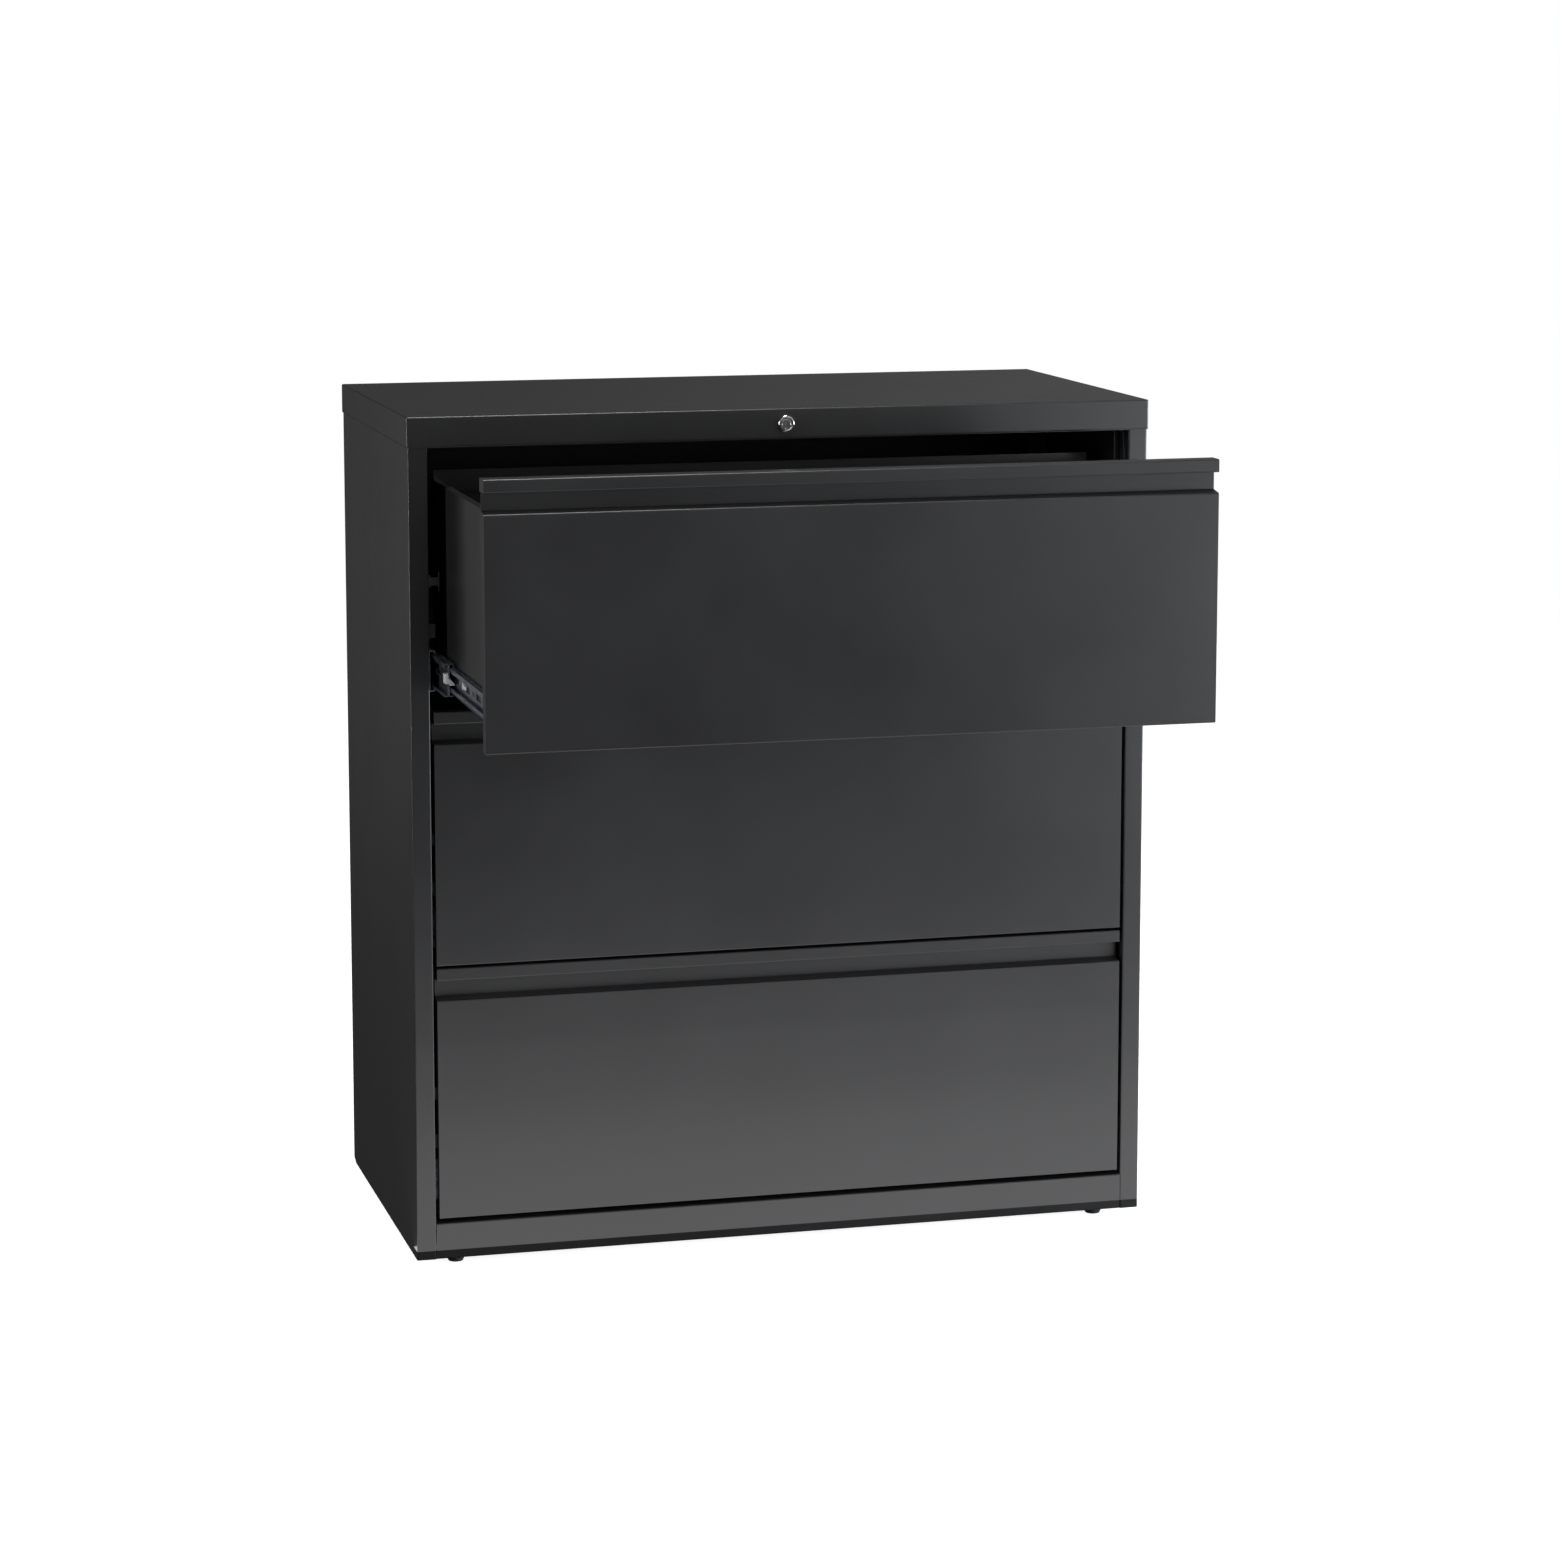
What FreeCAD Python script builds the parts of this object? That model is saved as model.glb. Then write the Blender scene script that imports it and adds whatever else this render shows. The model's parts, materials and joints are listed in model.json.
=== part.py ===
import FreeCAD, Part

import math
import os

# Three-drawer lateral filing cabinet in folded sheet steel, 36 inches wide.
# Millimetres. While the pieces are built, X runs to the right, Y runs from the
# cap's front face to the back and Z runs up from the floor. write() then moves
# every piece so that the origin is the middle of the floor rectangle that the
# cabinet covers with its top drawer standing open as stored.

# ---- overall sizes ----
WIDTH = 914.4
DEPTH = 473.1
HEIGHT = 1022.4
GLIDE_EXPOSED = 9.5

# ---- sheet metal ----
SHEET = 1.0
HEAVY = 1.5
INSIDE_BEND = 0.8
FIT_GAP = 0.2

# ---- casing ----
CAP_FLANGE = 36.6
CAP_PROUD = 1.3
CAP_CORNER = 2.5
CAP_FOLD = 1.8
CAP_HEM = 12.0
STILE_WIDTH = 23.5
STILE_RETURN = 14.0
REAR_FLANGE = 23.0
BASE_RAIL_HEIGHT = 43.9
BASE_RAIL_FOOT = 44.7
BASE_RAIL_TOP_RETURN = 18.7
BASE_RAIL_HEM = 10.0
FOOT_FLANGE_INSET = 20.0
BACK_PANEL_FOLD = 12.0
SCREW_COUNT = 5
SCREW_PITCH = 228.0
FIRST_SCREW_Z = 60.0
SCREW_INSET = 11.5
SCREW_HOLE_RADIUS = 2.1
SCREW_RADIUS = 2.0
SCREW_LENGTH = 8.0
SCREW_HEAD_RADIUS = 4.5
SCREW_HEAD_HEIGHT = 1.2
SCREW_HEAD_ROUNDING = 0.6
SCREW_CROSS_HALF = 2.2
SCREW_CROSS_SLIT = 0.4
REAR_CHAMFER_DEPTH = 16.0
REAR_CHAMFER_HEIGHT = 6.0
UPRIGHT_DEPTH = 40.0
FRONT_UPRIGHT_Y = 46.0
REAR_UPRIGHT_Y = 384.0
UPRIGHT_END_GAP = 3.0
UPRIGHT_SLOTS_ABOVE = (90.0, 150.0, 210.0)
UPRIGHT_SLOT_HALF_WIDTH = 3.0
UPRIGHT_SLOT_HALF_HEIGHT = 9.0
BOTTOM_PANEL_Z = 34.0
BOTTOM_PANEL_INSET = 24.0
BOTTOM_PANEL_SIDE_GAP = 4.0
BOTTOM_PANEL_FOLD = 12.0
COUNTERWEIGHT = (800.0, 60.0, 25.0)
COUNTERWEIGHT_SETBACK = 26.0

# ---- drawers ----
DRAWER_NAMES = ("bottom_drawer", "middle_drawer", "top_drawer")
FRONT_WIDTH = 856.2
FRONT_HEIGHT = 305.8
FRONT_GAP = 3.0
FIRST_FRONT_GAP = 5.4
FRONT_RETURN = 16.0
FACE_TOP = 266.9
LEDGE_RISE = 2.8
PULL_DEPTH = 17.0
LIP_HEIGHT = 15.1
LIP_DEPTH = 24.0
LIP_FOLD = 10.0
LINER_FOLD = 14.0
LINER_TOP_GAP = 4.0
BACK_TOP_FOLD = 10.0
BACK_FOOT_FOLD = 14.0
TRAY_HALF_WIDTH = 410.0
TRAY_BASE = 20.0
TRAY_SIDE_TOP = 262.0
TRAY_LENGTH = 405.0
TRAY_HEM = 8.0
HANGRAIL_SPACING = 380.0
HANGRAIL_SETBACK = 12.0
HANGRAIL_THICKNESS = 2.0
HANGRAIL_LOW = 248.0
HANGRAIL_TOP = 274.0
TOP_DRAWER_OPEN = 322.0

# ---- telescopic slides, drawer face to cabinet face ----
SLIDE_WIDTH = 19.3
SLIDE_CENTRE = 43.0
CABINET_MEMBER_HALF = 24.8
CABINET_MEMBER_DEPTH = 7.3
CABINET_MEMBER_LIP = 3.5
INTERMEDIATE_HALF = 19.5
INTERMEDIATE_NEAR = 3.3
INTERMEDIATE_FAR = 16.2
INTERMEDIATE_LIP = 4.1
DRAWER_MEMBER_HALF = 15.0
DRAWER_MEMBER_DEPTH = 7.8
DRAWER_MEMBER_LIP = 6.0
SLIDE_START = 24.0
SLIDE_LENGTH = 406.0
INTERMEDIATE_START = 109.0
INTERMEDIATE_LENGTH = 319.0
DRAWER_MEMBER_START = 22.0
SLIDE_SHEET = 1.0
BALL_GAP = 0.05
OUTER_BALL_RADIUS = 1.85
OUTER_BALL_OFFSET = 15.45
OUTER_CAGE_OFFSET = 16.6
INNER_BALL_RADIUS = 1.7
INNER_BALL_OFFSET = 6.1
INNER_CAGE_OFFSET = 8.1
CAGE_SHEET = 0.4
BALL_PITCH = 19.0
OUTER_CAGE_START = 128.0
OUTER_CAGE_LENGTH = 190.0
INNER_CAGE_START = 226.0
INNER_CAGE_LENGTH = 96.0
SLIDE_SCREW_RADIUS = 3.0
SLOT_COUNT = 6
SLOT_LENGTH = 26.0
SLOT_HEIGHT = 7.0
SLOT_PITCH = 66.0
FIRST_SLOT = 28.0
WINDOW_COUNT = 3
WINDOW_LENGTH = 30.0
WINDOW_HEIGHT = 8.0
WINDOW_PITCH = 90.0
FIRST_WINDOW = 50.0
BUMPER_NOSE = 3.0
BUMPER_LENGTH = 12.0
BUMPER_THICKNESS = 3.2
BUMPER_LOW = -3.8
BUMPER_HIGH = 7.2
WEDGE_REACH = 5.4
WEDGE_LOW = -6.0
WEDGE_TIP = -4.0
WEDGE_HIGH = 1.6
INTERMEDIATE_SHARE = 0.5
OUTER_CAGE_SHARE = 0.25
INNER_CAGE_SHARE = 0.75

# ---- lock and its linkage ----
LOCK_BEZEL_RADIUS = 10.2
LOCK_BEZEL_PROUD = 4.2
LOCK_BEZEL_ROUNDING = 1.9
LOCK_FACE_RADIUS = 7.9
LOCK_FACE_DEPTH = 2.6
LOCK_PLUG_DEPTH = 1.3
LOCK_BARREL_RADIUS = 8.0
LOCK_BARREL_LENGTH = 24.0
LOCK_NUT_RADIUS = 13.0
LOCK_NUT_THICKNESS = 4.0
LOCK_PLUG_RADIUS = 5.5
LOCK_PLUG_ROUNDING = 0.5
LOCK_PLUG_TAIL = 0.4
KEYWAY_DEPTH = 14.0
KEYWAY_HALF_HEIGHT = 3.8
KEYWAY_HALF_WIDTH = 0.8
WARD_HALF_WIDTH = 1.6
WARD_LOW = -0.6
WARD_HIGH = 1.2
RUNNING_GAP = 0.1
CAM_RADIUS = 10.0
CAM_START_ANGLE = 45.0
CAM_HUB_RADIUS = 6.5
CAM_ARM_HALF = 4.0
CAM_SCREW_RADIUS = 3.5
CAM_SCREW_HEIGHT = 1.6
LINK_PIN_RADIUS = 2.0
LINK_SLOT_WIDTH = 5.0
CROSSBAR_Y = 30.0
CROSSBAR_OVERHANG = 14.0
CROSSBAR_MARGIN = 7.0
CROSSBAR_ABOVE = 6.5
LINK_THICKNESS = 2.5
CRANK_X = 405.0
CRANK_Z = 996.0
CRANK_ARM = 17.0
CRANK_Y = 35.0
CRANK_TIP = 6.0
CRANK_HUB_RADIUS = 7.0
CRANK_ARM_HALF = 5.0
CRANK_BORE_RADIUS = 3.1
CRANK_STUD_RADIUS = 3.0
STUD_HEAD_RADIUS = 4.5
STUD_HEAD_HEIGHT = 1.4
STUD_HEAD_GAP = 0.4
BRACKET_Y = 44.0
BRACKET_FOOT = 16.0
BRACKET_HALF_WIDTH = 13.0
BAR_X = 438.0
BAR_Y = 19.5
BAR_DEPTH = 23.0
BAR_FOOT_Z = 70.0
BAR_LIP = 2.0
TAB_X = 416.5
TAB_CENTRE = 150.0
TAB_HALF_HEIGHT = 11.3
TAB_FOOT_REACH = 11.5
TAB_FOOT_HALF = 7.0
TAB_STEM_HALF = 4.8
TAB_CROSSPIECE = 1.5
CATCH_X = 422.0
CATCH_LOW = 83.0
CATCH_HEIGHT = 16.5
STUD_Y = 31.0
STUD_HEIGHTS = (240.0, 500.0, 860.0)
STUD_RADIUS = 2.5
STUD_SLOT_HALF_WIDTH = 3.0
STUD_SLOT_MARGIN = 3.2
PIN_TAB_SIDE = 4.0
PIN_TAB_BELOW = 3.0
PIN_TAB_ABOVE = 6.0
PIN_OVERHANG = 1.5
WIRE_Y = 24.0
WIRE_RADIUS = 1.2
# the wire's bends, measured from the bar's inner face and the cap's lower edge
WIRE_BENDS = ((1.0, 1.0), (-5.0, -1.0), (-1.4, -42.0), (1.0, -44.0))
INTERLOCK_TRAVEL = 10.0
INTERLOCK_TOP = 975.0

# ---- glides ----
GLIDE_X = 405.0
GLIDE_SETBACK = 26.0
GLIDE_RADIUS = 11.0
GLIDE_TOE_RADIUS = 9.0
GLIDE_TAPER = 5.5
GLIDE_PAD = 8.0
GLIDE_ROUNDING = 0.8
GLIDE_COLLAR_RADIUS = 6.5
GLIDE_COLLAR_HEIGHT = 1.1
GLIDE_STEM_RADIUS = 4.0
GLIDE_STEM_LENGTH = 22.0
GLIDE_SLOT_HALF_WIDTH = 0.6
GLIDE_SLOT_DEPTH = 2.0
GLIDE_NUT_RADIUS = 7.5
GLIDE_NUT_HEIGHT = 6.5

# ---- worked out from the sizes above ----
OUTSIDE_BEND = INSIDE_BEND + SHEET
BODY_BOTTOM = GLIDE_EXPOSED
CAP_BOTTOM = HEIGHT - CAP_FLANGE
FACE_Y = CAP_PROUD
REAR_Y = DEPTH - CAP_PROUD
SIDE_X = WIDTH / 2 - CAP_PROUD
SIDE_TOP = HEIGHT - SHEET - FIT_GAP
OPENING_X = SIDE_X - STILE_WIDTH
RAIL_TOP = BODY_BOTTOM + BASE_RAIL_HEIGHT
WALL_Y = FACE_Y + PULL_DEPTH
LINER_Y = WALL_Y + SHEET
TRAY_Y = LINER_Y + SHEET
LIP_BOTTOM = FRONT_HEIGHT - LIP_HEIGHT
LOCK_Z = HEIGHT - CAP_FLANGE / 2
CAM_REACH = CAM_RADIUS * math.sin(math.radians(CAM_START_ANGLE))
CRANK_TILT = math.degrees(math.atan(CAM_REACH / CRANK_ARM))
ORIGIN_Y = (DEPTH + FACE_Y - TOP_DRAWER_OPEN) / 2

X_AXIS = FreeCAD.Vector(1, 0, 0)
Y_AXIS = FreeCAD.Vector(0, 1, 0)
Z_AXIS = FreeCAD.Vector(0, 0, 1)


# ---------------------------------------------------------------- helpers
def vec(x, y, z):
    """A point or direction."""
    return FreeCAD.Vector(x, y, z)


def block(x0, x1, y0, y1, z0, z1):
    """Box between two corners."""
    return Part.makeBox(x1 - x0, y1 - y0, z1 - z0, vec(x0, y0, z0))


def rod(start, axis, radius, length):
    """Round bar that starts at a point and runs along an axis."""
    return Part.makeCylinder(radius, length, start, axis)


def mirrored(shape):
    """The same piece on the other side of the cabinet."""
    return shape.mirror(vec(0, 0, 0), X_AXIS)


def pair(shape):
    """A left and a right piece as two separate solids."""
    return Part.makeCompound([shape, mirrored(shape)])


def directions(points):
    """Unit vectors along an open line of corners."""
    return [(end - start).normalize() for start, end in zip(points, points[1:])]


def mitred(points, normal, distance):
    """An open line of corners moved sideways, with mitred corners."""
    sides = [normal.cross(way) for way in directions(points)]
    moved = [points[0] + sides[0] * distance]
    for corner, before, after in zip(points[1:-1], sides, sides[1:]):
        moved.append(corner + (before + after) * (distance / (1 + before.dot(after))))
    moved.append(points[-1] + sides[-1] * distance)
    return moved


def rounded(points, radii):
    """Edges along an open line of corners, each inner corner rounded."""
    ways = directions(points)
    edges = []
    here = points[0]
    for corner, before, after, radius in zip(points[1:-1], ways, ways[1:], radii):
        half_turn = before.getAngle(after) / 2
        reach = radius * math.tan(half_turn)
        inward = (after - before).normalize()
        start = corner - before * reach
        end = corner + after * reach
        middle = corner + inward * (radius / math.cos(half_turn) - radius)
        edges.append(Part.makeLine(here, start))
        edges.append(Part.Arc(start, middle, end).toShape())
        here = end
    edges.append(Part.makeLine(here, points[-1]))
    return edges


def swept(edges, sweep):
    """Solid swept from a closed outline."""
    outline = Part.Wire(Part.__sortEdges__(edges))
    return Part.Face(outline).extrude(sweep)


def bent_sheet(points, normal, sweep, thickness=SHEET):
    """Folded sheet. The points are one face; the metal is on its normal x travel side."""
    ways = directions(points)
    outside = INSIDE_BEND + thickness
    near_radii = []
    far_radii = []
    for before, after in zip(ways, ways[1:]):
        folds_over_metal = normal.cross(before).dot(after) > 0
        near_radii.append(outside if folds_over_metal else INSIDE_BEND)
        far_radii.append(INSIDE_BEND if folds_over_metal else outside)
    far_points = mitred(points, normal, thickness)
    edges = rounded(points, near_radii) + rounded(far_points, far_radii)
    edges.append(Part.makeLine(points[-1], far_points[-1]))
    edges.append(Part.makeLine(far_points[0], points[0]))
    return swept(edges, sweep)


def filled_outline(points, radius, sweep):
    """Plate whose outline is a closed line through the points, inner corners rounded."""
    edges = rounded(points, [radius] * (len(points) - 2))
    edges.append(Part.makeLine(points[-1], points[0]))
    return swept(edges, sweep)


def plan(points, z):
    """Corners given as (x, y) at one height."""
    return [vec(x, y, z) for x, y in points]


def side_view(points, x):
    """Corners given as (y, z) at one x."""
    return [vec(x, y, z) for y, z in points]


def front_view(points, y):
    """Corners given as (x, z) at one y."""
    return [vec(x, y, z) for x, z in points]


def write(node, shape, opened=0.0):
    """Save one node, moved forward by how far it stands open and then to the origin."""
    placed = shape.copy()
    placed.translate(vec(0, -opened - ORIGIN_Y, 0))
    placed.exportStep("parts/" + node + ".step")


# ---------------------------------------------------------------- casing
def top_cap():
    """Lid folded down on all four sides, with the lock hole in its front flange."""
    half = WIDTH / 2
    outer = block(-half, half, 0, DEPTH, CAP_BOTTOM, HEIGHT)
    folds = [edge for edge in outer.Edges if edge.BoundBox.ZMax > HEIGHT - CAP_FOLD]
    outer = outer.makeFillet(CAP_FOLD, folds)
    inner = block(-half + SHEET, half - SHEET, SHEET, DEPTH - SHEET, CAP_BOTTOM, HEIGHT - SHEET)
    inner_folds = [edge for edge in inner.Edges if edge.BoundBox.ZMax > HEIGHT - OUTSIDE_BEND]
    inner = inner.makeFillet(INSIDE_BEND, inner_folds)
    cap = outer.cut(inner)
    across = [(-half, HEIGHT), (-half, CAP_BOTTOM), (half, CAP_BOTTOM), (half, HEIGHT)]
    cap = cap.common(filled_outline(front_view(across, 0), CAP_CORNER, Y_AXIS * DEPTH))
    along = [(0, HEIGHT), (0, CAP_BOTTOM), (DEPTH, CAP_BOTTOM), (DEPTH, HEIGHT)]
    cap = cap.common(filled_outline(side_view(along, -half), CAP_CORNER, X_AXIS * WIDTH))
    hem_x = OPENING_X - FIT_GAP
    hem = block(-hem_x, hem_x, SHEET, CAP_HEM, CAP_BOTTOM, CAP_BOTTOM + SHEET)
    hole = rod(vec(0, -1, LOCK_Z), Y_AXIS, LOCK_BARREL_RADIUS + RUNNING_GAP, 3)
    return cap.fuse(hem).cut(hole).removeSplitter()


def screw_heights():
    """Heights of the screws that hold the back panel to the side panels."""
    return [FIRST_SCREW_Z + SCREW_PITCH * step for step in range(SCREW_COUNT)]


def left_side_panel():
    """Side sheet folded round the front into the stile, and inward at the rear."""
    outline = plan([
        (-SIDE_X + REAR_FLANGE, REAR_Y),
        (-SIDE_X, REAR_Y),
        (-SIDE_X, FACE_Y),
        (-OPENING_X, FACE_Y),
        (-OPENING_X, FACE_Y + STILE_RETURN),
    ], BODY_BOTTOM)
    panel = bent_sheet(outline, Z_AXIS, Z_AXIS * (SIDE_TOP - BODY_BOTTOM))
    flange_end = REAR_Y - FOOT_FLANGE_INSET
    foot_flange = block(
        -SIDE_X + SHEET, -OPENING_X - 2, FOOT_FLANGE_INSET, flange_end, BODY_BOTTOM, BODY_BOTTOM + SHEET)
    corner = side_view([
        (REAR_Y - REAR_CHAMFER_DEPTH, BODY_BOTTOM),
        (REAR_Y + 1, BODY_BOTTOM - 1),
        (REAR_Y, BODY_BOTTOM + REAR_CHAMFER_HEIGHT),
    ], -SIDE_X - 1)
    chamfer = Part.Face(Part.makePolygon(corner + corner[:1])).extrude(X_AXIS * (REAR_FLANGE + 2))
    panel = panel.fuse(foot_flange).cut(chamfer)
    for height in screw_heights():
        hole = rod(vec(-SIDE_X + SCREW_INSET, REAR_Y - 3, height), Y_AXIS, SCREW_HOLE_RADIUS, 4)
        panel = panel.cut(hole)
    return panel


def back_panel():
    """Flat back sheet in front of the side panels' rear flanges, folded forward at the top."""
    half = SIDE_X - OUTSIDE_BEND - FIT_GAP
    rear = REAR_Y - SHEET
    low = BODY_BOTTOM + REAR_CHAMFER_HEIGHT + 1
    outline = side_view([(rear - BACK_PANEL_FOLD, SIDE_TOP), (rear, SIDE_TOP), (rear, low)], -half)
    panel = bent_sheet(outline, -X_AXIS, X_AXIS * (2 * half))
    for height in screw_heights():
        for side in (-1, 1):
            x = side * (SIDE_X - SCREW_INSET)
            hole = rod(vec(x, rear - 3, height), Y_AXIS, SCREW_HOLE_RADIUS, 4)
            panel = panel.cut(hole)
    return panel


def back_panel_screw(x, z):
    """Low-head screw with a cross recess, through a rear flange and the back panel."""
    recess_y = REAR_Y + SCREW_HEAD_HEIGHT / 2
    head_y = REAR_Y + SCREW_HEAD_HEIGHT
    head = rod(vec(x, REAR_Y, z), Y_AXIS, SCREW_HEAD_RADIUS, SCREW_HEAD_HEIGHT)
    rim = [edge for edge in head.Edges if edge.BoundBox.YMin > recess_y]
    head = head.makeFillet(SCREW_HEAD_ROUNDING, rim)
    for half_x, half_z in ((SCREW_CROSS_HALF, SCREW_CROSS_SLIT), (SCREW_CROSS_SLIT, SCREW_CROSS_HALF)):
        head = head.cut(block(x - half_x, x + half_x, recess_y, head_y + 1, z - half_z, z + half_z))
    return head.fuse(rod(vec(x, REAR_Y - SCREW_LENGTH, z), Y_AXIS, SCREW_RADIUS, SCREW_LENGTH))


def back_panel_screws():
    """Screws that hold the back panel to the side panels."""
    screws = []
    for height in screw_heights():
        for side in (-1, 1):
            screws.append(back_panel_screw(side * (SIDE_X - SCREW_INSET), height))
    return Part.makeCompound(screws)


def base_rail(front_y, into, glide_y):
    """Channel across the base. `into` is +1 when its face looks forward, -1 when backward."""
    half = OPENING_X - FIT_GAP
    outline = side_view([
        (front_y + into * BASE_RAIL_TOP_RETURN, RAIL_TOP),
        (front_y, RAIL_TOP),
        (front_y, BODY_BOTTOM),
        (front_y + into * BASE_RAIL_FOOT, BODY_BOTTOM),
        (front_y + into * BASE_RAIL_FOOT, BODY_BOTTOM + BASE_RAIL_HEM),
    ], -into * half)
    rail = bent_sheet(outline, X_AXIS * into, X_AXIS * (into * 2 * half))
    for side in (-1, 1):
        centre = vec(side * GLIDE_X, glide_y, BODY_BOTTOM - 1)
        rail = rail.cut(rod(centre, Z_AXIS, GLIDE_STEM_RADIUS + 1, 4))
    return rail


def bottom_panel():
    """Floor sheet between the slide uprights, its sides folded down."""
    half = OPENING_X - BOTTOM_PANEL_SIDE_GAP
    low = BOTTOM_PANEL_Z - BOTTOM_PANEL_FOLD
    corners = [(-half, low), (-half, BOTTOM_PANEL_Z), (half, BOTTOM_PANEL_Z), (half, low)]
    outline = front_view(corners, BOTTOM_PANEL_INSET)
    return bent_sheet(outline, Y_AXIS, Y_AXIS * (REAR_Y - 2 * BOTTOM_PANEL_INSET))


def counterweight():
    """Steel slab on the floor sheet at the back, which keeps an open drawer from tipping the cabinet."""
    length, depth, height = COUNTERWEIGHT
    rear = REAR_Y - COUNTERWEIGHT_SETBACK
    slab = block(-length / 2, length / 2, rear - depth, rear, BOTTOM_PANEL_Z, BOTTOM_PANEL_Z + height)
    return slab.makeChamfer(2, slab.Edges)


def front_bottoms():
    """Height of each drawer front's lower edge, lowest drawer first."""
    return [RAIL_TOP + FIRST_FRONT_GAP + index * (FRONT_HEIGHT + FRONT_GAP) for index in range(3)]


def left_uprights():
    """Two slotted channels inside the side panel, which carry the slides."""
    inner = -TRAY_HALF_WIDTH - SLIDE_WIDTH
    outer = -SIDE_X + SHEET + FIT_GAP
    low = BODY_BOTTOM + UPRIGHT_END_GAP
    half_width = UPRIGHT_SLOT_HALF_WIDTH
    channels = []
    for start in (FRONT_UPRIGHT_Y, REAR_UPRIGHT_Y):
        end = start + UPRIGHT_DEPTH
        outline = plan([(outer, start), (inner, start), (inner, end), (outer, end)], low)
        channel = bent_sheet(outline, Z_AXIS, Z_AXIS * (SIDE_TOP - UPRIGHT_END_GAP - low), HEAVY)
        middle = (start + end) / 2
        for bottom in front_bottoms():
            for above in UPRIGHT_SLOTS_ABOVE:
                slot_low = bottom + above - UPRIGHT_SLOT_HALF_HEIGHT
                slot_high = bottom + above + UPRIGHT_SLOT_HALF_HEIGHT
                slot = block(
                    inner - 1, inner + 2, middle - half_width, middle + half_width, slot_low, slot_high)
                channel = channel.cut(slot)
        channels.append(channel)
    return Part.makeCompound(channels)


# ---------------------------------------------------------------- glides
def hexagon_corners(radius):
    """Six corners round the origin, in two coordinates."""
    angles = [math.radians(60 * step) for step in range(6)]
    return [(radius * math.cos(angle), radius * math.sin(angle)) for angle in angles]


def glide_nuts():
    """Four hexagon nuts on the base rails, in which the glides turn."""
    low = BODY_BOTTOM + SHEET
    nuts = []
    for x, y in glide_places():
        corners = [vec(x + dx, y + dy, low) for dx, dy in hexagon_corners(GLIDE_NUT_RADIUS)]
        nut = Part.Face(Part.makePolygon(corners + corners[:1])).extrude(Z_AXIS * GLIDE_NUT_HEIGHT)
        bore = rod(vec(x, y, low - 1), Z_AXIS, GLIDE_STEM_RADIUS + RUNNING_GAP, GLIDE_NUT_HEIGHT + 2)
        nuts.append(nut.cut(bore))
    return Part.makeCompound(nuts)


def glide_places():
    """Plan positions of the glides: front left, front right, rear left, rear right."""
    rear = DEPTH - GLIDE_SETBACK
    return [(-GLIDE_X, GLIDE_SETBACK), (GLIDE_X, GLIDE_SETBACK), (-GLIDE_X, rear), (GLIDE_X, rear)]


def glide(x, y):
    """Levelling foot: a tapered pad under a screw stem with a driver slot in its top."""
    top = GLIDE_PAD + GLIDE_STEM_LENGTH
    taper = Part.makeCone(GLIDE_TOE_RADIUS, GLIDE_RADIUS, GLIDE_TAPER, vec(x, y, 0))
    rim = rod(vec(x, y, GLIDE_TAPER), Z_AXIS, GLIDE_RADIUS, GLIDE_PAD - GLIDE_TAPER)
    pad = taper.fuse(rim).removeSplitter()
    rims = [edge for edge in pad.Edges if edge.BoundBox.ZMax < 0.1 or edge.BoundBox.ZMin > GLIDE_PAD - 0.1]
    pad = pad.makeFillet(GLIDE_ROUNDING, rims)
    collar = rod(vec(x, y, GLIDE_PAD), Z_AXIS, GLIDE_COLLAR_RADIUS, GLIDE_COLLAR_HEIGHT)
    stem = rod(vec(x, y, GLIDE_PAD), Z_AXIS, GLIDE_STEM_RADIUS, GLIDE_STEM_LENGTH)
    half_width = GLIDE_SLOT_HALF_WIDTH
    end = GLIDE_STEM_RADIUS + 1
    slot = block(x - end, x + end, y - half_width, y + half_width, top - GLIDE_SLOT_DEPTH, top + 1)
    return pad.fuse(collar).fuse(stem).cut(slot)


# ---------------------------------------------------------------- lock
def lock_housing():
    """Fixed lock barrel with a raised round bezel and a sunk face round the plug."""
    front = -LOCK_BEZEL_PROUD
    bezel = rod(vec(0, front, LOCK_Z), Y_AXIS, LOCK_BEZEL_RADIUS, LOCK_BEZEL_PROUD)
    rim = [edge for edge in bezel.Edges if edge.BoundBox.YMax < front + 0.1]
    bezel = bezel.makeFillet(LOCK_BEZEL_ROUNDING, rim)
    barrel = rod(vec(0, -1, LOCK_Z), Y_AXIS, LOCK_BARREL_RADIUS, LOCK_BARREL_LENGTH + 1)
    sunk = rod(vec(0, front - 1, LOCK_Z), Y_AXIS, LOCK_FACE_RADIUS, LOCK_FACE_DEPTH + 1)
    bore = rod(vec(0, front - 1, LOCK_Z), Y_AXIS, LOCK_PLUG_RADIUS + RUNNING_GAP, LOCK_BARREL_LENGTH + 6)
    return bezel.fuse(barrel).cut(sunk).cut(bore)


def lock_nut():
    """Hexagon nut that clamps the lock to the cap's front flange."""
    corners = [vec(x, SHEET, LOCK_Z + z) for x, z in hexagon_corners(LOCK_NUT_RADIUS)]
    nut = Part.Face(Part.makePolygon(corners + corners[:1])).extrude(Y_AXIS * LOCK_NUT_THICKNESS)
    bore_length = LOCK_NUT_THICKNESS + SHEET + 1
    return nut.cut(rod(vec(0, 0, LOCK_Z), Y_AXIS, LOCK_BARREL_RADIUS + RUNNING_GAP, bore_length))


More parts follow.
